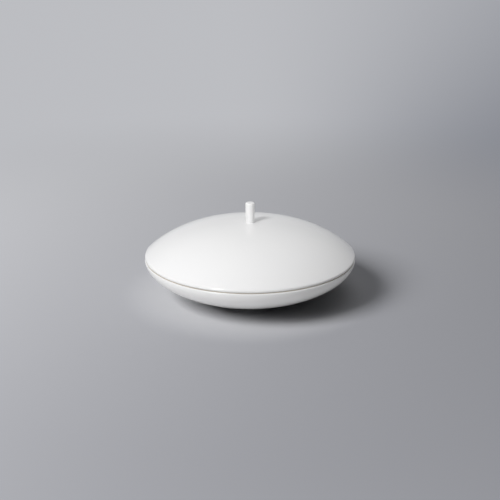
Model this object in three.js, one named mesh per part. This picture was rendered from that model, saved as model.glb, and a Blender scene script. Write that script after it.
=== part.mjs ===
// Covered soup bowl in white glazed porcelain: a shallow footed bowl, a low domed lid and a stick knob.
// Millimetres, +Z up. The origin is on the surface that the bowl stands on, at the centre of its foot.
import * as THREE from "three";

// Bowl
const RIM_RADIUS = 101.5; // widest point of the lip
const BOWL_HEIGHT = 37.5; // standing surface to the flat top of the rim
const BOWL_WALL = 4; // even wall, square to the surface
const LIP_DROP = 0.8; // height of the rim's rolled edges
const LIP_ROLL = 1.5; // width of the outer rolled edge
const MOUTH_ROLL = 1; // width of the inner rolled edge
const RIM_DROP = 11.7; // pull of the outer curve, straight down from the lip
const FOOT_RUN = 31.8; // pull of the outer curve, outwards from the foot
const FOOT_SLOPE = THREE.MathUtils.degToRad(8); // underside's rise where it leaves the foot
const WELL_FLAT_RADIUS = 28; // flat middle of the well's floor

// Foot ring
const FOOT_RADIUS = 45; // where the ring leaves the underside
const FOOT_HEIGHT = 3.8;
const FOOT_WIDTH = 4.6; // measured on the standing surface
const FOOT_OUTER_TAPER = 1.2;
const FOOT_INNER_TAPER = 1;
const FOOT_EDGE = 0.8; // rounding of the standing edges

// Lid
const LID_INSET = 0.3; // lid's edge inside the bowl's lip
const LID_RISE = 33.4; // top of the rim to the flat seat of the knob
const LID_WALL = 4;
const LID_EDGE_ROUND = 1.9;
const LID_EDGE_SLOPE = THREE.MathUtils.degToRad(41.4); // dome's fall where it meets the rounded edge
const CROWN_RUN = 37.7; // pull of the dome's curve, level from the knob's seat
const SHOULDER_RUN = 30.9; // pull of the dome's curve, up its slope from the edge

// Locating flange, formed in one with the lid
const FLANGE_CLEARANCE = 1; // to the bowl's mouth
const FLANGE_DEPTH = 4.5; // below the top of the rim
const FLANGE_WIDTH = 3.4;
const FLANGE_TAPER = 0.8; // lead-in on its outer face
const FLANGE_EDGE = 0.9;

// Knob
const KNOB_RADIUS = 4.4;
const KNOB_HEIGHT = 20;
const KNOB_EDGE = 0.9;
const KNOB_LAND = 0.5; // flat left on the lid round the knob's foot

// Fineness of the facets
const TURN_SEGMENTS = 64;
const CURVE_STEPS = 11;
const EDGE_STEPS = 6;
const ROLL_STEPS = 3;
const CORNER_STEPS = 2;
const SEARCH_STEPS = 40;

// Glaze
const GLAZE_COLOUR = 0xf1f1ef;
const GLAZE_ROUGHNESS = 0.12;

const point = (radius, height) => new THREE.Vector2(radius, height);

/** Points of a round or oval edge, from one angle to another about a centre. */
function arcPoints(centre, across, up, fromAngle, toAngle, steps) {
  const clockwise = toAngle < fromAngle;
  const arc = new THREE.EllipseCurve(centre.x, centre.y, across, up, fromAngle, toAngle, clockwise);
  return arc.getPoints(steps);
}

/** Points of a corner between two straight stretches, rounded off at a distance along each. */
function cornerPoints(before, corner, after, distance) {
  const start = before.clone().sub(corner).setLength(distance).add(corner);
  const end = after.clone().sub(corner).setLength(distance).add(corner);
  return new THREE.QuadraticBezierCurve(start, corner, end).getPoints(CORNER_STEPS);
}

/** The point at a distance to the left of a curve's run. */
function besideCurve(curve, along, distance) {
  const place = curve.getPoint(along);
  const run = curve.getTangent(along);
  return point(place.x - run.y * distance, place.y + run.x * distance);
}

/** Points beside a curve, from one place along it to another. */
function besidePoints(curve, distance, fromAlong, toAlong) {
  return Array.from({ length: CURVE_STEPS + 1 }, (unused, step) =>
    besideCurve(curve, THREE.MathUtils.lerp(fromAlong, toAlong, step / CURVE_STEPS), distance)
  );
}

/** How far along a curve that runs inwards the point beside it comes to a radius. */
function alongAtRadius(curve, distance, radius) {
  let outside = 0;
  let inside = 1;
  for (let step = 0; step < SEARCH_STEPS; step += 1) {
    const middle = (outside + inside) / 2;
    if (besideCurve(curve, middle, distance).x > radius) {
      outside = middle;
    } else {
      inside = middle;
    }
  }
  return inside;
}

/** A named piece turned about +Z from a profile that starts and ends on the axis. */
function turnedPiece(name, profile) {
  const geometry = new THREE.LatheGeometry(profile, TURN_SEGMENTS);
  geometry.rotateX(Math.PI / 2);
  const glaze = new THREE.MeshStandardMaterial({
    color: GLAZE_COLOUR,
    roughness: GLAZE_ROUGHNESS,
    metalness: 0,
  });
  const piece = new THREE.Mesh(geometry, glaze);
  piece.name = name;
  return piece;
}

/** Bowl: foot ring, outer wall, rim, inner wall and the flat middle of the well. */
function makeBowl() {
  const footTop = point(FOOT_RADIUS, FOOT_HEIGHT);
  const lipWidest = point(RIM_RADIUS, BOWL_HEIGHT - LIP_DROP);
  const footPull = point(FOOT_RUN * Math.cos(FOOT_SLOPE), FOOT_RUN * Math.sin(FOOT_SLOPE)).add(footTop);
  const lipPull = point(lipWidest.x, lipWidest.y - RIM_DROP);
  const wall = new THREE.CubicBezierCurve(footTop, footPull, lipPull, lipWidest);

  // The well's floor bends from the wall's slope to level between the foot and the flat middle.
  const wellStart = besideCurve(wall, 0, BOWL_WALL);
  const bendRun = (wellStart.x - WELL_FLAT_RADIUS) / 2;
  const wellFloor = wellStart.y - bendRun * Math.tan(FOOT_SLOPE);
  const bendCorner = point(WELL_FLAT_RADIUS + bendRun, wellFloor);
  const wellBend = new THREE.QuadraticBezierCurve(wellStart, bendCorner, point(WELL_FLAT_RADIUS, wellFloor));
  const baseUnder = wellFloor - BOWL_WALL;

  const footOuter = point(FOOT_RADIUS - FOOT_OUTER_TAPER, 0);
  const footInner = point(footOuter.x - FOOT_WIDTH, 0);
  const footRoot = point(footInner.x - FOOT_INNER_TAPER, baseUnder);

  const lipCentre = point(RIM_RADIUS - LIP_ROLL, lipWidest.y);
  const mouthCentre = point(RIM_RADIUS - BOWL_WALL + MOUTH_ROLL, lipWidest.y);

  return turnedPiece("bowl", [
    point(0, baseUnder),
    footRoot,
    ...cornerPoints(footRoot, footInner, footOuter, FOOT_EDGE),
    ...cornerPoints(footInner, footOuter, footTop, FOOT_EDGE),
    ...wall.getPoints(CURVE_STEPS),
    ...arcPoints(lipCentre, LIP_ROLL, LIP_DROP, 0, Math.PI / 2, ROLL_STEPS).slice(1),
    ...arcPoints(mouthCentre, MOUTH_ROLL, LIP_DROP, Math.PI / 2, Math.PI, ROLL_STEPS),
    ...besidePoints(wall, BOWL_WALL, 1, 0).slice(1),
    ...wellBend.getPoints(CORNER_STEPS).slice(1),
    point(0, wellFloor),
  ]);
}

/** Lid: hollow underside, locating flange, face that rests on the rim, rounded edge and dome. */
function makeLid() {
  const edgeRadius = RIM_RADIUS - LID_INSET;
  const edgeCentre = point(edgeRadius - LID_EDGE_ROUND, LID_EDGE_ROUND);
  const domeAngle = Math.PI / 2 - LID_EDGE_SLOPE;
  const edge = arcPoints(edgeCentre, LID_EDGE_ROUND, LID_EDGE_ROUND, -Math.PI / 2, domeAngle, EDGE_STEPS);
  const domeFoot = edge.at(-1);
  const shoulderPull = point(-Math.cos(LID_EDGE_SLOPE), Math.sin(LID_EDGE_SLOPE))
    .multiplyScalar(SHOULDER_RUN)
    .add(domeFoot);
  const knobSeat = point(KNOB_RADIUS + KNOB_LAND, LID_RISE);
  const crownPull = point(knobSeat.x + CROWN_RUN, LID_RISE);
  const dome = new THREE.CubicBezierCurve(domeFoot, shoulderPull, crownPull, knobSeat);

  const flangeOuter = RIM_RADIUS - BOWL_WALL - FLANGE_CLEARANCE;
  const flangeInner = flangeOuter - FLANGE_WIDTH;
  const hollowEdge = alongAtRadius(dome, LID_WALL, flangeInner);
  const hollow = besidePoints(dome, LID_WALL, 1, hollowEdge);
  const flangeRoot = point(flangeOuter, 0);
  const flangeLow = point(flangeOuter - FLANGE_TAPER, -FLANGE_DEPTH);
  const flangeLowInner = point(flangeInner, -FLANGE_DEPTH);

  return turnedPiece("lid", [
    point(0, LID_RISE - LID_WALL),
    ...hollow,
    ...cornerPoints(hollow.at(-1), flangeLowInner, flangeLow, FLANGE_EDGE),
    ...cornerPoints(flangeLowInner, flangeLow, flangeRoot, FLANGE_EDGE),
    flangeRoot,
    ...edge,
    ...dome.getPoints(CURVE_STEPS).slice(1),
    point(0, LID_RISE),
  ]);
}

/** Knob: a plain round stick with a softened top edge. */
function makeKnob() {
  const edgeCentre = point(KNOB_RADIUS - KNOB_EDGE, KNOB_HEIGHT - KNOB_EDGE);
  return turnedPiece("knob", [
    point(0, 0),
    point(KNOB_RADIUS, 0),
    ...arcPoints(edgeCentre, KNOB_EDGE, KNOB_EDGE, 0, Math.PI / 2, CORNER_STEPS),
    point(0, KNOB_HEIGHT),
  ]);
}

const bowl = makeBowl();
const lid = makeLid();
const knob = makeKnob();

// The lid rests on the rim, and the knob is luted to the flat seat at the top of the lid.
const liddedGroup = new THREE.Group();
liddedGroup.position.z = BOWL_HEIGHT;
knob.position.z = LID_RISE;
liddedGroup.add(lid, knob);

const coveredBowl = new THREE.Group();
coveredBowl.add(bowl, liddedGroup);

export default coveredBowl;
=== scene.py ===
"""Looks of a covered soup bowl: three turned porcelain pieces under a clear glaze, on a pale studio floor."""

import logging
import math
from abc import ABC, abstractmethod
from dataclasses import dataclass, field
from enum import Enum
from typing import Any

import bpy
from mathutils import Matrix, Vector


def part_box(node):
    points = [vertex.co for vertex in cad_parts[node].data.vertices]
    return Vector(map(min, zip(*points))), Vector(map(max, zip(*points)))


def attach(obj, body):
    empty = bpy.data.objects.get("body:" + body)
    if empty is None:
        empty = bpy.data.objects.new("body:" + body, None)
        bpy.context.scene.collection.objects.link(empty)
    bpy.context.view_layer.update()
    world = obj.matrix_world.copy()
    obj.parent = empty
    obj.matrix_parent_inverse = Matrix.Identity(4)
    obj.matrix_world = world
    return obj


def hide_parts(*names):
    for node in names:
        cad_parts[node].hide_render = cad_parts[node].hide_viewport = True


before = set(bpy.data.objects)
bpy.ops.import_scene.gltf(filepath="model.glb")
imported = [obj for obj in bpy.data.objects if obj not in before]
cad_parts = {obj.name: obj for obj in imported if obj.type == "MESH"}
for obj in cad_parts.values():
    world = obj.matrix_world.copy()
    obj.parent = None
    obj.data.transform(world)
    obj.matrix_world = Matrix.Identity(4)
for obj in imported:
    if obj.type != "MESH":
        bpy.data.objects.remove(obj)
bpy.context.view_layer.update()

log = logging.getLogger("covered_bowl")

Point = tuple[float, float]
Colour = tuple[float, float, float]
Direction = tuple[float, float, float]

MM = 0.001

# The middle of the photograph lies this far above the bowl's rim
AIM_ABOVE_RIM = 5.4 * MM

# Angles in a half section, in degrees above level
OUTWARDS = 0.0
UPWARDS = 90.0
INWARDS = 180.0
DOWNWARDS = 270.0
WHOLE_TURN = 360.0

# A bare ring reaches this far past its face, so that its soft edge lies off the face
BARE_PAST = 1.0 * MM

# A cubic curve whose pulls go this share of the way to a corner bends round it evenly
BEND_PULL = 2 / 3
# Points closer than this many metres count as one
SAME_POINT = 1e-7
# Halvings that find a place on a curve
SEARCH_STEPS = 40


class Body(Enum):
    """The moving bodies that the pieces ride on."""

    BOWL = "bowl"
    LID = "lid"


# Half sections of the turned pieces


def polar(length: float, angle: float) -> Point:
    """A step of some length at an angle above level, in radians."""
    return length * math.cos(angle), length * math.sin(angle)


def moved(place: Point, step: Point) -> Point:
    """A point moved by a step."""
    return place[0] + step[0], place[1] + step[1]


@dataclass(frozen=True)
class Curve:
    """A cubic curve in a half section, with its two ends and the pulls between them."""

    start: Point
    start_pull: Point
    end_pull: Point
    end: Point

    @classmethod
    def bend(cls, start: Point, corner: Point, end: Point) -> "Curve":
        """A curve that leaves its start and reaches its end along the lines to a corner.

        Args:
            start: where the curve starts.
            corner: where the two lines meet.
            end: where the curve ends.

        Returns:
            The curve.
        """
        pulls = []
        for place in (start, end):
            way = (corner[0] - place[0], corner[1] - place[1])
            pulls.append(moved(place, (way[0] * BEND_PULL, way[1] * BEND_PULL)))
        return cls(start, pulls[0], pulls[1], end)

    def at(self, along: float) -> Point:
        """The point at a share of the way along the curve.

        Args:
            along: 0 at the start, 1 at the end.

        Returns:
            The point's radius and height.
        """
        back = 1.0 - along
        weights = (back**3, 3 * along * back**2, 3 * along**2 * back, along**3)
        places = (self.start, self.start_pull, self.end_pull, self.end)
        radius = sum(weight * place[0] for weight, place in zip(weights, places))
        height = sum(weight * place[1] for weight, place in zip(weights, places))
        return radius, height

    def beside(self, along: float, distance: float) -> Point:
        """The point at a distance to the left of the curve's run.

        Args:
            along: 0 at the start, 1 at the end.
            distance: how far to the left, square to the curve.

        Returns:
            The point's radius and height.
        """
        back = 1.0 - along
        weights = (back**2, 2 * along * back, along**2)
        places = (self.start, self.start_pull, self.end_pull, self.end)
        steps = [(there[0] - here[0], there[1] - here[1]) for here, there in zip(places, places[1:])]
        run = sum(weight * step[0] for weight, step in zip(weights, steps))
        rise = sum(weight * step[1] for weight, step in zip(weights, steps))
        share = distance / math.hypot(run, rise)
        return moved(self.at(along), (-rise * share, run * share))

    def along_at_radius(self, distance: float, radius: float) -> float:
        """How far along a curve that runs inwards the line beside it comes to a radius.

        Args:
            distance: how far to the left of the curve the line lies.
            radius: the radius to find.

        Returns:
            The share of the way along the curve.
        """
        outside, inside = 0.0, 1.0
        for _ in range(SEARCH_STEPS):
            middle = (outside + inside) / 2
            if self.beside(middle, distance)[0] > radius:
                outside = middle
            else:
                inside = middle
        return inside


class Section:
    """A half section drawn from point to point, with radius across and height up."""

    def __init__(self, start: Point) -> None:
        """Starts the section at a point."""
        self.points: list[Point] = [start]

    def line(self, end: Point) -> None:
        """Goes straight to a point."""
        self.points.append(end)

    def curve(
        self,
        curve: Curve,
        steps: int,
        distance: float = 0.0,
        start: float = 0.0,
        end: float = 1.0,
    ) -> None:
        """Follows a curve, or a line beside it.

        Args:
            curve: the curve to follow.
            steps: how many stretches to draw it with.
            distance: how far to the left of the curve to draw.
            start: where on the curve to begin.
            end: where on the curve to stop.
        """
        shares = [start + (end - start) * step / steps for step in range(steps + 1)]
        self.join([curve.beside(share, distance) for share in shares])

    def arc(self, centre: Point, reach: Point, start: float, end: float, steps: int) -> None:
        """Follows part of a circle or an upright ellipse.

        Args:
            centre: the arc's centre.
            reach: its radius across and its radius up.
            start: the angle it begins at, in degrees above level.
            end: the angle it stops at.
            steps: how many stretches to draw it with.
        """
        drawn = []
        for step in range(steps + 1):
            angle = math.radians(start + (end - start) * step / steps)
            drawn.append(moved(centre, (reach[0] * math.cos(angle), reach[1] * math.sin(angle))))
        self.join(drawn)

    def corner(self, tip: Point, after: Point, size: float, steps: int) -> None:
        """Rounds the corner between the stretch drawn last and the next one.

        Args:
            tip: where the two straight stretches would meet.
            after: a point on the stretch that follows.
            size: how far from the tip the rounding begins and ends.
            steps: how many stretches to draw it with.
        """
        here = Vector(tip)
        start = here + (Vector(self.points[-1]) - here).normalized() * size
        end = here + (Vector(after) - here).normalized() * size
        drawn = []
        for step in range(steps + 1):
            along = step / steps
            place = start.lerp(here, along).lerp(here.lerp(end, along), along)
            drawn.append((place.x, place.y))
        self.join(drawn)

    def join(self, drawn: list[Point]) -> None:
        """Adds drawn points, without a first one that repeats the last point.

        Args:
            drawn: the points, in order.
        """
        last = self.points[-1]
        gap = math.hypot(drawn[0][0] - last[0], drawn[0][1] - last[1])
        self.points.extend(drawn if gap > SAME_POINT else drawn[1:])


@dataclass(frozen=True)
class Wheel:
    """The potter's wheel: draws out a half section and spins it into a closed mesh."""

    turns: int = 192
    merge_gap: float = 1e-6
    crease: float = math.radians(38.0)

    def throw(self, name: str, section: Section) -> bpy.types.Object:
        """Makes a turned piece from a half section that starts and ends on the axis.

        Args:
            name: the piece's name.
            section: the half section.

        Returns:
            The piece, at the origin, with its place in its mesh.
        """
        bpy.ops.object.select_all(action="DESELECT")
        bpy.ops.mesh.primitive_plane_add(size=MM, location=(0.0, 0.0, 0.0))
        piece = bpy.context.object
        piece.name = name
        piece.data.name = name
        bpy.ops.object.mode_set(mode="EDIT")
        bpy.ops.mesh.select_all(action="SELECT")
        bpy.ops.mesh.merge(type="CENTER")
        first = section.points[0]
        bpy.ops.transform.translate(value=(first[0], 0.0, first[1]))
        for here, there in zip(section.points, section.points[1:]):
            step = (there[0] - here[0], 0.0, there[1] - here[1])
            bpy.ops.mesh.extrude_region_move(TRANSFORM_OT_translate={"value": step})
        bpy.ops.mesh.select_all(action="SELECT")
        bpy.ops.mesh.spin(steps=self.turns, angle=math.tau, center=(0.0, 0.0, 0.0), axis=(0.0, 0.0, 1.0))
        bpy.ops.mesh.select_all(action="SELECT")
        bpy.ops.mesh.remove_doubles(threshold=self.merge_gap)
        bpy.ops.mesh.normals_make_consistent(inside=False)
        bpy.ops.object.mode_set(mode="OBJECT")
        bpy.ops.object.shade_smooth_by_angle(angle=self.crease)
        return piece


# Shader writing


class Wire:
    """A shader value that adds Math nodes where it is used in an expression."""

    def __init__(self, graph: "Graph", socket: bpy.types.NodeSocket | None) -> None:
        """Holds a node's output socket in its graph."""
        self.graph = graph
        self.socket = socket

    def maths(self, operation: str, first: "Wire | float", second: "Wire | float") -> "Wire":
        """A Math node's result."""
        return self.graph.node("ShaderNodeMath", {"operation": operation}, {0: first, 1: second})

    def __add__(self, other: "Wire | float") -> "Wire":
        """This plus another value."""
        return self.maths("ADD", self, other)

    def __radd__(self, other: float) -> "Wire":
        """A number plus this."""
        return self.maths("ADD", other, self)

    def __sub__(self, other: "Wire | float") -> "Wire":
        """This less another value."""
        return self.maths("SUBTRACT", self, other)

    def __rsub__(self, other: float) -> "Wire":
        """A number less this."""
        return self.maths("SUBTRACT", other, self)

    def __mul__(self, other: "Wire | float") -> "Wire":
        """This times another value."""
        return self.maths("MULTIPLY", self, other)

    def __rmul__(self, other: float) -> "Wire":
        """A number times this."""
        return self.maths("MULTIPLY", other, self)

    def at_least(self, other: "Wire | float") -> "Wire":
        """This, or another value where that is larger."""
        return self.maths("MAXIMUM", self, other)


class Axis(Enum):
    """The parts of a vector that the shaders use."""

    ACROSS = "X"
    UP = "Z"


class Ray(Enum):
    """The kinds of ray that the shaders tell apart."""

    CAMERA = "Is Camera Ray"
    DIFFUSE = "Is Diffuse Ray"
    GLOSSY = "Is Glossy Ray"
    THROUGH = "Is Transmission Ray"


class Graph:
    """The node tree of a material or of the world, written as expressions."""

    # The numbers of a Mix node's sockets when it mixes colours
    MIX_SHARE = 0
    MIX_FIRST = 6
    MIX_SECOND = 7
    MIX_RESULT = 2

    def __init__(self, owner: bpy.types.Material | bpy.types.World) -> None:
        """Empties the node tree of a new material or world.

        Args:
            owner: the material or the world.
        """
        owner.use_nodes = True
        self.tree = owner.node_tree
        self.tree.nodes.clear()

    def node(
        self,
        kind: str,
        settings: dict[str, Any],
        sockets: dict[str | int, Any],
        output: str | int = 0,
    ) -> Wire:
        """Adds any node.

        Args:
            kind: the node's type.
            settings: what is set on the node itself, before its sockets.
            sockets: the values or wires of its input sockets, by name or number.
            output: the name or number of the output socket.

        Returns:
            The output as a wire.
        """
        made = self.tree.nodes.new(kind)
        for name, value in settings.items():
            setattr(made, name, value)
        for key, value in sockets.items():
            socket = made.inputs[key]
            if isinstance(value, Wire):
                self.tree.links.new(value.socket, socket)
            else:
                socket.default_value = value
        return Wire(self, made.outputs[output] if made.outputs else None)

    def noise(self, place: Wire, scale: float, detail: float) -> Wire:
        """A noise pattern from 0 to 1, with a scale in features to the metre."""
        return self.node("ShaderNodeTexNoise", {}, {"Vector": place, "Scale": scale, "Detail": detail})

    def ramp(self, value: Wire, low: float, high: float) -> Wire:
        """A smooth step from 0 at low to 1 at high, or the other way about."""
        settings = {"interpolation_type": "SMOOTHSTEP"}
        return self.node("ShaderNodeMapRange", settings, {"Value": value, "From Min": low, "From Max": high})

    def blend(self, share: Wire, first: Wire | Colour, second: Wire | Colour) -> Wire:
        """A colour between two colours.

        Args:
            share: 0 for the first colour, 1 for the second.
            first: the first colour.
            second: the second colour.

        Returns:
            The colour.
        """
        sockets: dict[str | int, Any] = {self.MIX_SHARE: share}
        for number, colour in ((self.MIX_FIRST, first), (self.MIX_SECOND, second)):
            sockets[number] = colour if isinstance(colour, Wire) else rgba(colour)
        return self.node("ShaderNodeMix", {"data_type": "RGBA"}, sockets, self.MIX_RESULT)

    def part(self, vector: Wire, axis: Axis) -> Wire:
        """One part of a vector."""
        return self.node("ShaderNodeSeparateXYZ", {}, {0: vector}, axis.value)

    def flat(self, vector: Wire) -> Wire:
        """A vector without its height."""
        settings = {"operation": "MULTIPLY"}
        return self.node("ShaderNodeVectorMath", settings, {0: vector, 1: (1.0, 1.0, 0.0)})

    def length(self, vector: Wire) -> Wire:
        """A vector's length."""
        return self.node("ShaderNodeVectorMath", {"operation": "LENGTH"}, {0: vector}, "Value")

    def reach(self, vector: Wire, direction: Direction) -> Wire:
        """How far a vector reaches in a direction."""
        settings = {"operation": "DOT_PRODUCT"}
        return self.node("ShaderNodeVectorMath", settings, {0: vector, 1: direction}, "Value")

    def ray(self, kind: Ray) -> Wire:
        """A value of 1 for rays of a kind, 0 for others."""
        return self.node("ShaderNodeLightPath", {}, {}, kind.value)

    def seen(self) -> Wire:
        """A value of 1 where the camera sees the surface straight, mirrored or through glass."""
        straight_or_mirrored = self.ray(Ray.CAMERA).at_least(self.ray(Ray.GLOSSY))
        return straight_or_mirrored.at_least(self.ray(Ray.THROUGH))


def rgba(colour: Colour) -> tuple[float, float, float, float]:
    """A colour with full alpha."""
    return (*colour, 1.0)


@dataclass(frozen=True)
class Zone:
    """A ring on a turned piece, given by its range of radius and of height."""

    inner: float
    outer: float
    low: float
    high: float
    soft: float = 0.25 * MM

    def mask(self, graph: Graph, radius: Wire, height: Wire) -> Wire:
        """A mask that is 1 in the ring and 0 outside it.

        Args:
            graph: the material's graph.
            radius: the distance from the axis.
            height: the height above the floor.

        Returns:
            The mask.
        """
        inside = graph.ramp(radius, self.inner, self.inner + self.soft)
        outside = graph.ramp(radius, self.outer, self.outer - self.soft)
        above = graph.ramp(height, self.low, self.low + self.soft)
        below = graph.ramp(height, self.high, self.high - self.soft)
        return inside * outside * above * below


@dataclass(frozen=True)
class Porcelain:
    """White porcelain under a clear glossy glaze, bare where pieces stand or meet."""

    glaze: Colour = (0.874, 0.870, 0.866)
    glaze_cool: Colour = (0.850, 0.849, 0.854)
    biscuit: Colour = (0.62, 0.57, 0.49)
    glaze_roughness: float = 0.055
    roughness_spread: float = 0.03
    biscuit_roughness: float = 0.72
    ior: float = 1.5
    cloud_scale: float = 16.0
    cloud_detail: float = 2.0
    cloud_middle: float = 0.5
    peel_scale: float = 210.0
    peel_detail: float = 1.0
    peel_height: float = 3.2e-6
    grain_scale: float = 2600.0
    grain_detail: float = 3.0
    grain_height: float = 2.4e-5

    def material(self, name: str, bare: list[Zone]) -> bpy.types.Material:
        """Writes the glaze for one piece.

        Args:
            name: the material's name.
            bare: the rings that carry no glaze.

        Returns:
            The material.
        """
        material = bpy.data.materials.new(name)
        graph = Graph(material)
        place = graph.node("ShaderNodeTexCoord", {}, {}, "Object")
        clouds = graph.noise(place, self.cloud_scale, self.cloud_detail)
        colour = graph.blend(clouds, self.glaze, self.glaze_cool)
        roughness = self.glaze_roughness + self.roughness_spread * (clouds - self.cloud_middle)
        relief = graph.noise(place, self.peel_scale, self.peel_detail) * self.peel_height
        if bare:
            uncovered = self.bare_mask(graph, place, bare)
            grain = graph.noise(place, self.grain_scale, self.grain_detail)
            colour = graph.blend(uncovered, colour, self.biscuit)
            roughness = roughness + uncovered * (self.biscuit_roughness - self.glaze_roughness)
            relief = relief * (1 - uncovered) + grain * uncovered * self.grain_height
        # The relief is in metres, so the bump takes it as it is
        bump = graph.node("ShaderNodeBump", {}, {"Strength": 1.0, "Distance": 1.0, "Height": relief})
        shader = graph.node(
            "ShaderNodeBsdfPrincipled",
            {},
            {"Base Color": colour, "Roughness": roughness, "IOR": self.ior, "Normal": bump},
        )
        graph.node("ShaderNodeOutputMaterial", {}, {"Surface": shader})
        return material

    def bare_mask(self, graph: Graph, place: Wire, bare: list[Zone]) -> Wire:
        """A mask of all the rings that carry no glaze.

        Args:
            graph: the material's graph.
            place: the place on the piece.
            bare: the rings, at least one.

        Returns:
            The mask.
        """
        radius = graph.length(graph.flat(place))
        height = graph.part(place, Axis.UP)
        rings = [zone.mask(graph, radius, height) for zone in bare]
        mask = rings[0]
        for ring in rings[1:]:
            mask = mask.at_least(ring)
        return mask


# The pieces


@dataclass
class TurnedPiece(ABC):
    """A porcelain piece turned on the wheel, which stands for one solid of the frame."""

    node: str
    body: Body
    wheel: Wheel
    porcelain: Porcelain

    @abstractmethod
    def section(self) -> Section:
        """The piece's half section."""

    def bare_zones(self) -> list[Zone]:
        """The rings of the piece that carry no glaze."""
        return []

    def build(self) -> bpy.types.Object:
        """Models the piece, dresses it and joins it to the frame.

        Returns:
            The finished piece.
        """
        piece = self.wheel.throw(f"{self.node}_porcelain", self.section())
        self.dress(piece)
        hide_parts(self.node)
        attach(piece, self.body.value)
        return piece

    def dress(self, piece: bpy.types.Object) -> None:
        """Gives the piece its glaze."""
        piece.data.materials.clear()
        piece.data.materials.append(self.porcelain.material(f"{self.node}_glaze", self.bare_zones()))


@dataclass
class Bowl(TurnedPiece):
    """Shallow bowl with a foot ring and a rolled rim."""

    wall: float = 4.0 * MM
    lip_reach: float = 1.5 * MM
    lip_drop: float = 1.4 * MM
    inner_lip_reach: float = 1.0 * MM
    rim_drop: float = 11.1 * MM
    foot_run: float = 31.8 * MM
    foot_slope: float = math.radians(8.0)
    well_flat_radius: float = 28.0 * MM
    foot_radius: float = 45.0 * MM
    foot_height: float = 3.8 * MM
    foot_width: float = 4.6 * MM
    foot_outer_taper: float = 1.2 * MM
    foot_inner_taper: float = 1.0 * MM
    foot_edge: float = 0.8 * MM
    foot_cove: float = 1.6 * MM
    cove_share: float = 0.05

    bare_foot_height: float = 0.7 * MM
    bare_seat_inset: float = 0.6 * MM
    bare_seat_depth: float = 0.5 * MM

    wall_steps: int = 48
    lip_steps: int = 10
    inner_lip_steps: int = 8
    well_steps: int = 10
    cove_steps: int = 6
    edge_steps: int = 5

    rim_radius: float = field(init=False)
    rim_height: float = field(init=False)

    def __post_init__(self) -> None:
        """Takes the rim's radius and height from the frame."""
        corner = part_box(self.node)[1]
        self.rim_radius, self.rim_height = corner.x, corner.z

    def foot_outer(self) -> float:
        """The radius of the standing ring's outer edge."""
        return self.foot_radius - self.foot_outer_taper

    def wall_curve(self) -> Curve:
        """The outer wall, from the top of the foot ring to the widest part of the lip.

        Returns:
            The curve.
        """
        foot = (self.foot_radius, self.foot_height)
        lip = (self.rim_radius, self.rim_height - self.lip_drop)
        foot_pull = moved(foot, polar(self.foot_run, self.foot_slope))
        lip_pull = (lip[0], lip[1] - self.rim_drop)
        return Curve(foot, foot_pull, lip_pull, lip)

    def well_curve(self, start: Point) -> Curve:
        """The bend from the inner wall to the flat of the well.

        Args:
            start: where the inner wall ends.

        Returns:
            The curve, which ends on the flat.
        """
        half_run = (start[0] - self.well_flat_radius) / 2
        floor = start[1] - half_run * math.tan(self.foot_slope)
        return Curve.bend(start, (start[0] - half_run, floor), (self.well_flat_radius, floor))

    def section(self) -> Section:
        """The bowl's half section, from under the base, round the rim and down into the well.

        Returns:
            The section.
        """
        wall = self.wall_curve()
        well = self.well_curve(wall.beside(0.0, self.wall))
        floor = well.end[1]
        under = floor - self.wall
        stand_outer = (self.foot_outer(), 0.0)
        stand_inner = (stand_outer[0] - self.foot_width, 0.0)
        foot_root = (stand_inner[0] - self.foot_inner_taper, under)
        lip_outer = (self.rim_radius - self.lip_reach, wall.end[1])
        lip_inner = (self.rim_radius - self.wall + self.inner_lip_reach, wall.end[1])

        section = Section((0.0, under))
        section.line((self.well_flat_radius, under))
        section.corner(foot_root, stand_inner, self.foot_cove, self.cove_steps)
        section.corner(stand_inner, stand_outer, self.foot_edge, self.edge_steps)
        section.corner(stand_outer, wall.start, self.foot_edge, self.edge_steps)
        section.corner(wall.start, wall.at(self.cove_share), self.foot_cove, self.cove_steps)
        section.curve(wall, self.wall_steps, start=self.cove_share)
        section.arc(lip_outer, (self.lip_reach, self.lip_drop), OUTWARDS, UPWARDS, self.lip_steps)
        section.arc(lip_inner, (self.inner_lip_reach, self.lip_drop), UPWARDS, INWARDS, self.inner_lip_steps)
        section.curve(wall, self.wall_steps, self.wall, start=1.0, end=0.0)
        section.curve(well, self.well_steps)
        section.line((0.0, floor))
        return section

    def bare_zones(self) -> list[Zone]:
        """The standing ring and the flat of the rim.

        Returns:
            The two rings.
        """
        standing = Zone(
            inner=self.foot_outer() - self.foot_width - BARE_PAST,
            outer=self.foot_outer() + BARE_PAST,
            low=-BARE_PAST,
            high=self.bare_foot_height,
        )
        seat = Zone(
            inner=self.rim_radius - self.wall + self.inner_lip_reach,
            outer=self.rim_radius - self.bare_seat_inset,
            low=self.rim_height - self.bare_seat_depth,
            high=self.rim_height + BARE_PAST,
        )
        return [standing, seat]


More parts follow.
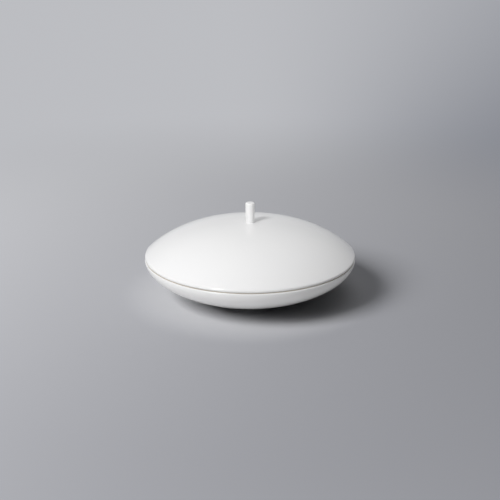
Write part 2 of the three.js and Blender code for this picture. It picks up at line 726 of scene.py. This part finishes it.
@dataclass
class Lid(TurnedPiece):
    """Low domed lid with a rounded edge and a locating flange inside it."""

    wall: float = 4.0 * MM
    edge_round: float = 1.9 * MM
    edge_slope: float = math.radians(41.4)
    crown_run: float = 37.7 * MM
    shoulder_run: float = 30.9 * MM
    knob_land: float = 0.5 * MM
    flange_clearance: float = 1.0 * MM
    flange_width: float = 3.4 * MM
    flange_taper: float = 0.8 * MM
    flange_edge: float = 0.9 * MM
    bowl_wall: float = Bowl.wall
    root_cove: float = 0.6 * MM

    bare_edge_inset: float = 0.3 * MM
    bare_edge_height: float = 0.75 * MM
    bare_flange_height: float = 0.6 * MM

    dome_steps: int = 56
    hollow_steps: int = 48
    edge_steps: int = 18
    flange_steps: int = 5
    cove_steps: int = 4

    edge_radius: float = field(init=False)
    top: float = field(init=False)
    flange_bottom: float = field(init=False)
    seat_height: float = field(init=False)
    flange_radius: float = field(init=False)
    knob_seat_radius: float = field(init=False)

    def __post_init__(self) -> None:
        """Takes the edge, the heights and the mouth that the flange fits from the frame."""
        low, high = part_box(self.node)
        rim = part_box("bowl")[1]
        self.edge_radius = high.x
        self.top = high.z
        self.flange_bottom = low.z
        self.seat_height = rim.z
        self.flange_radius = rim.x - self.bowl_wall - self.flange_clearance
        self.knob_seat_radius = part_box("knob")[1].x + self.knob_land

    def edge_centre(self) -> Point:
        """The centre of the rounded edge."""
        return self.edge_radius - self.edge_round, self.seat_height + self.edge_round

    def dome_curve(self) -> Curve:
        """The dome, from its rounded edge up to the flat that carries the knob.

        Returns:
            The curve.
        """
        edge = moved(self.edge_centre(), polar(self.edge_round, math.pi / 2 - self.edge_slope))
        edge_pull = moved(edge, polar(self.shoulder_run, math.pi - self.edge_slope))
        seat = (self.knob_seat_radius, self.top)
        seat_pull = (seat[0] + self.crown_run, seat[1])
        return Curve(edge, edge_pull, seat_pull, seat)

    def section(self) -> Section:
        """The lid's half section, from its hollow, round the flange and the edge to the top.

        Returns:
            The section.
        """
        dome = self.dome_curve()
        flange_inner = self.flange_radius - self.flange_width
        hollow_edge = dome.along_at_radius(self.wall, flange_inner)
        flange_low_inner = (flange_inner, self.flange_bottom)
        flange_low = (self.flange_radius - self.flange_taper, self.flange_bottom)
        flange_root = (self.flange_radius, self.seat_height)
        centre = self.edge_centre()
        dome_angle = WHOLE_TURN + UPWARDS - math.degrees(self.edge_slope)

        section = Section((0.0, self.top - self.wall))
        section.curve(dome, self.hollow_steps, self.wall, start=1.0, end=hollow_edge)
        section.corner(flange_low_inner, flange_low, self.flange_edge, self.flange_steps)
        section.corner(flange_low, flange_root, self.flange_edge, self.flange_steps)
        section.corner(flange_root, centre, self.root_cove, self.cove_steps)
        section.arc(centre, (self.edge_round, self.edge_round), DOWNWARDS, dome_angle, self.edge_steps)
        section.curve(dome, self.dome_steps)
        section.line((0.0, self.top))
        return section

    def bare_zones(self) -> list[Zone]:
        """The flat face that rests on the rim, and the bottom edge of the flange.

        Returns:
            The two rings.
        """
        resting = Zone(
            inner=self.flange_radius,
            outer=self.edge_radius - self.bare_edge_inset,
            low=self.seat_height - BARE_PAST,
            high=self.seat_height + self.bare_edge_height,
        )
        lower_edge = Zone(
            inner=self.flange_radius - self.flange_width - BARE_PAST,
            outer=self.flange_radius,
            low=self.flange_bottom - BARE_PAST,
            high=self.flange_bottom + self.bare_flange_height,
        )
        return [resting, lower_edge]


@dataclass
class Knob(TurnedPiece):
    """Plain stick knob with a softened top and a small fillet of glaze at its foot."""

    edge: float = 1.3 * MM
    fillet: float = 0.4 * MM
    sink: float = 0.04 * MM
    round_steps: int = 8

    def section(self) -> Section:
        """The knob's half section, from its foot to its top.

        Returns:
            The section.
        """
        low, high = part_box(self.node)
        radius, foot, top = high.x, low.z, high.z
        fillet_centre = (radius + self.fillet, foot + self.fillet)
        edge_centre = (radius - self.edge, top - self.edge)

        section = Section((0.0, foot - self.sink))
        section.line((radius + self.fillet, foot - self.sink))
        section.arc(fillet_centre, (self.fillet, self.fillet), DOWNWARDS, INWARDS, self.round_steps)
        section.line((radius, (foot + top) / 2))
        section.arc(edge_centre, (self.edge, self.edge), OUTWARDS, UPWARDS, self.round_steps)
        section.line((0.0, top))
        return section


# The studio


def face(thing: bpy.types.Object, aim: Vector, azimuth: float, elevation: float, distance: float) -> None:
    """Puts a lamp or a camera into the scene, facing a point.

    Args:
        thing: the lamp or the camera.
        aim: the point that it faces.
        azimuth: where it stands round that point, in degrees from the front towards the right.
        elevation: how high it stands, in degrees above level.
        distance: how far from the point it stands.
    """
    turn = math.radians(azimuth)
    rise = math.radians(elevation)
    away = Vector((math.sin(turn) * math.cos(rise), -math.cos(turn) * math.cos(rise), math.sin(rise)))
    thing.location = aim + away * distance
    thing.rotation_mode = "QUATERNION"
    thing.rotation_quaternion = (-away).to_track_quat("-Z", "Y")
    bpy.context.scene.collection.objects.link(thing)


class Lit(Enum):
    """What a lamp lights, because the paper takes more light than the white glaze can."""

    PIECES = "lit_pieces"
    KNOB = "lit_knob"
    FLOOR = "lit_floor"


@dataclass(frozen=True)
class Backdrop:
    """The grey that the far floor and the room fade to, painted light that is brighter on the left, on the
    lamps' side, and dimmer and bluer on the right, and above for mirror images.
    """

    # Painted light: a brighter grey on the lamps' side on the left, and a dimmer, bluer grey on the right
    # where less light falls
    left: Colour = (0.505, 0.512, 0.538)
    right: Colour = (0.245, 0.255, 0.288)
    left_edge: float = -0.05
    right_edge: float = 0.62
    above: Colour = (0.320, 0.326, 0.344)
    above_start: float = 0.10
    above_full: float = 0.32

    def colour(self, graph: Graph, direction: Wire) -> Wire:
        """The backdrop's colour in a direction from the bowl.

        Args:
            graph: the graph of the floor or the room.
            direction: the direction, with a length of 1.

        Returns:
            The colour.
        """
        rightward = graph.ramp(graph.part(direction, Axis.ACROSS), self.left_edge, self.right_edge)
        upward = graph.ramp(graph.part(direction, Axis.UP), self.above_start, self.above_full)
        return graph.blend(upward, graph.blend(rightward, self.left, self.right), self.above)


@dataclass(frozen=True)
class FloorFinish:
    """Matt grey seamless paper, which runs into the backdrop, with painted light: darker towards the front,
    lighter towards the back left, and lighter next to the foot where the bowl bounces light onto it.
    """

    # Painted light: the paper shows a dim front and a lighter back along towards_back, standing in for the
    # lamps' light falling off towards the front and right
    front: Colour = (0.124, 0.1265, 0.138)
    back: Colour = (0.236, 0.238, 0.250)
    # Painted light: the light that the bowl bounces onto the paper next to its foot, which also lightens the
    # bowl's shadow there
    painted_bounce: Colour = (0.250, 0.252, 0.262)
    bounce: Colour = (0.275, 0.275, 0.277)
    backdrop: Backdrop = Backdrop()
    roughness: float = 0.75
    towards_back: Direction = (-0.75, 0.661, 0.0)
    front_edge: float = -0.35
    back_edge: float = 0.55
    painted_bounce_full: float = 0.075
    painted_bounce_end: float = 0.13
    backdrop_start: float = 0.30
    backdrop_full: float = 0.85

    def material(self) -> bpy.types.Material:
        """Writes the floor's paper, which bounces a little more light to the pieces than it shows.

        Returns:
            The material.
        """
        material = bpy.data.materials.new("floor_paper")
        graph = Graph(material)
        place = graph.node("ShaderNodeTexCoord", {}, {}, "Object")
        away = graph.length(place)
        # Painted light: the shown colour is lighter towards the back left, and lighter next to the foot where
        # the bowl bounces light onto the paper and into its shadow
        painted_falloff_share = graph.ramp(graph.reach(place, self.towards_back), self.front_edge, self.back_edge)
        painted_bounce_share = graph.ramp(away, self.painted_bounce_end, self.painted_bounce_full)
        shown_with_painted_light = graph.blend(painted_bounce_share, graph.blend(painted_falloff_share, self.front, self.back), self.painted_bounce)
        colour = graph.blend(graph.ray(Ray.DIFFUSE), shown_with_painted_light, self.bounce)
        matt = {"Base Color": colour, "Roughness": self.roughness}
        paper = graph.node("ShaderNodeBsdfPrincipled", {}, matt)
        # Painted light: further out, the paper that the camera sees straight or mirrored glows with the
        # backdrop's greys instead of taking the lamps' light
        direction = graph.node("ShaderNodeVectorMath", {"operation": "NORMALIZE"}, {0: place})
        distant = graph.node("ShaderNodeEmission", {}, {"Color": self.backdrop.colour(graph, direction)})
        share = graph.ramp(away, self.backdrop_start, self.backdrop_full) * graph.seen()
        shader = graph.node("ShaderNodeMixShader", {}, {0: share, 1: paper, 2: distant})
        graph.node("ShaderNodeOutputMaterial", {}, {"Surface": shader})
        return material


@dataclass(frozen=True)
class Glow:
    """A broad bright part of the room, such as its ceiling or a wall."""

    towards: Direction
    level: float
    dim: float = 0.2
    bright: float = 0.95

    def light(self, graph: Graph, direction: Wire) -> Wire:
        """What this part of the room gives from a direction."""
        return self.level * graph.ramp(graph.reach(direction, self.towards), self.dim, self.bright)


@dataclass(frozen=True)
class RoomLight:
    """The room's soft light, from its ceiling and its walls, before the grey backdrop."""

    colour: Colour = (1.0, 1.0, 1.0)
    backdrop: Backdrop = Backdrop()
    ceiling: Glow = Glow(towards=(0.0, 0.0, 1.0), level=2.08, dim=0.8, bright=1.0)
    walls: tuple[Glow, ...] = (
        Glow(towards=(-0.604, 0.720, 0.342), level=0.32),
        Glow(towards=(0.100, 0.934, 0.342), level=0.17),
    )

    def build(self) -> None:
        """Makes the world that lights the scene."""
        world = bpy.data.worlds.new("studio_room")
        graph = Graph(world)
        direction = graph.node("ShaderNodeTexCoord", {}, {}, "Generated")
        level = self.ceiling.light(graph, direction)
        for wall in self.walls:
            level = level + wall.light(graph, direction)
        light = graph.node("ShaderNodeBackground", {}, {"Color": rgba(self.colour), "Strength": level})
        # The camera and mirror images see the backdrop's painted greys in place of the room's light
        distant = graph.node("ShaderNodeBackground", {}, {"Color": self.backdrop.colour(graph, direction)})
        shader = graph.node("ShaderNodeMixShader", {}, {0: graph.seen(), 1: light, 2: distant})
        graph.node("ShaderNodeOutputWorld", {}, {"Surface": shader})
        bpy.context.scene.world = world


@dataclass(frozen=True)
class SoftLamp:
    """A softbox that faces the bowl."""

    name: str
    lit: Lit
    azimuth: float
    elevation: float
    distance: float
    width: float
    height: float
    power: float

    def hang(self, aim: Vector, receivers: bpy.types.Collection) -> None:
        """Hangs the lamp.

        Args:
            aim: the point that it faces.
            receivers: the objects that it lights.
        """
        data = bpy.data.lights.new(self.name, "AREA")
        data.shape = "RECTANGLE"
        data.size = self.width
        data.size_y = self.height
        data.energy = self.power
        lamp = bpy.data.objects.new(self.name, data)
        lamp.visible_camera = False
        lamp.light_linking.receiver_collection = receivers
        face(lamp, aim, self.azimuth, self.elevation, self.distance)


@dataclass(frozen=True)
class Studio:
    """The floor, the lamps and the light of the room."""

    floor: FloorFinish = FloorFinish()
    floor_size: float = 12.0
    room: RoomLight = RoomLight()
    lamps: tuple[SoftLamp, ...] = (
        SoftLamp(
            name="key_softbox",
            lit=Lit.PIECES,
            azimuth=-38.0,
            elevation=41.0,
            distance=2.0,
            width=0.38,
            height=0.38,
            power=23.0,
        ),
        SoftLamp(
            name="low_left_fill",
            lit=Lit.PIECES,
            azimuth=-50.0,
            elevation=8.0,
            distance=2.0,
            width=0.9,
            height=0.25,
            power=2.8,
        ),
        SoftLamp(
            name="knob_accent",
            lit=Lit.KNOB,
            azimuth=34.0,
            elevation=12.0,
            distance=2.0,
            width=0.3,
            height=0.3,
            power=9.0,
        ),
        SoftLamp(
            name="floor_softbox",
            lit=Lit.FLOOR,
            azimuth=-56.0,
            elevation=38.5,
            distance=2.7,
            width=1.275,
            height=1.275,
            power=197.0,
        ),
    )

    def build(self, aim: Vector, pieces: dict[Lit, list[bpy.types.Object]]) -> None:
        """Lays the floor and lights the room.

        Args:
            aim: the point that the lamps face.
            pieces: the pieces that each group of lamps lights.
        """
        bpy.ops.object.select_all(action="DESELECT")
        bpy.ops.mesh.primitive_plane_add(size=self.floor_size, location=(0.0, 0.0, 0.0))
        floor = bpy.context.object
        floor.name = "studio_floor"
        floor.data.materials.append(self.floor.material())
        receivers = {lit: bpy.data.collections.new(lit.value) for lit in Lit}
        for lit, members in {**pieces, Lit.FLOOR: [floor]}.items():
            for member in members:
                receivers[lit].objects.link(member)
        for lamp in self.lamps:
            lamp.hang(aim, receivers[lamp.lit])
        self.room.build()


@dataclass(frozen=True)
class PhotoCamera:
    """A camera at the photograph's angle, straight before the bowl."""

    azimuth: float = 0.0
    elevation: float = 19.4
    distance: float = 1.0
    focal_pixels: float = 1033.0
    image_pixels: float = 500.0
    sensor: float = 36.0

    def build(self, aim: Vector) -> None:
        """Places the camera and makes it the scene's own.

        Args:
            aim: the point at the middle of the image.
        """
        data = bpy.data.cameras.new("photo_camera")
        data.sensor_width = self.sensor
        data.lens = self.focal_pixels / self.image_pixels * self.sensor
        camera = bpy.data.objects.new("photo_camera", data)
        face(camera, aim, self.azimuth, self.elevation, self.distance)
        bpy.context.scene.camera = camera


def main() -> None:
    """Builds the camera, the pieces and the studio, in that order."""
    logging.basicConfig(level=logging.INFO, format="%(message)s")
    bpy.context.scene.view_settings.view_transform = "Standard"
    rim_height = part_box("bowl")[1].z
    aim = Vector((0.0, 0.0, rim_height + AIM_ABOVE_RIM))
    PhotoCamera().build(aim)

    wheel = Wheel()
    porcelain = Porcelain()
    bowl = Bowl("bowl", Body.BOWL, wheel, porcelain).build()
    lid = Lid("lid", Body.LID, wheel, porcelain).build()
    knob = Knob("knob", Body.LID, wheel, porcelain).build()
    pieces = [bowl, lid, knob]
    for piece in pieces:
        log.info("%s: %d faces", piece.name, len(piece.data.polygons))

    studio = Studio()
    studio.build(aim, {Lit.PIECES: pieces, Lit.KNOB: [knob]})
    for lamp in studio.lamps:
        log.info("%s: %.1f W", lamp.name, lamp.power)


if __name__ == "__main__":
    main()
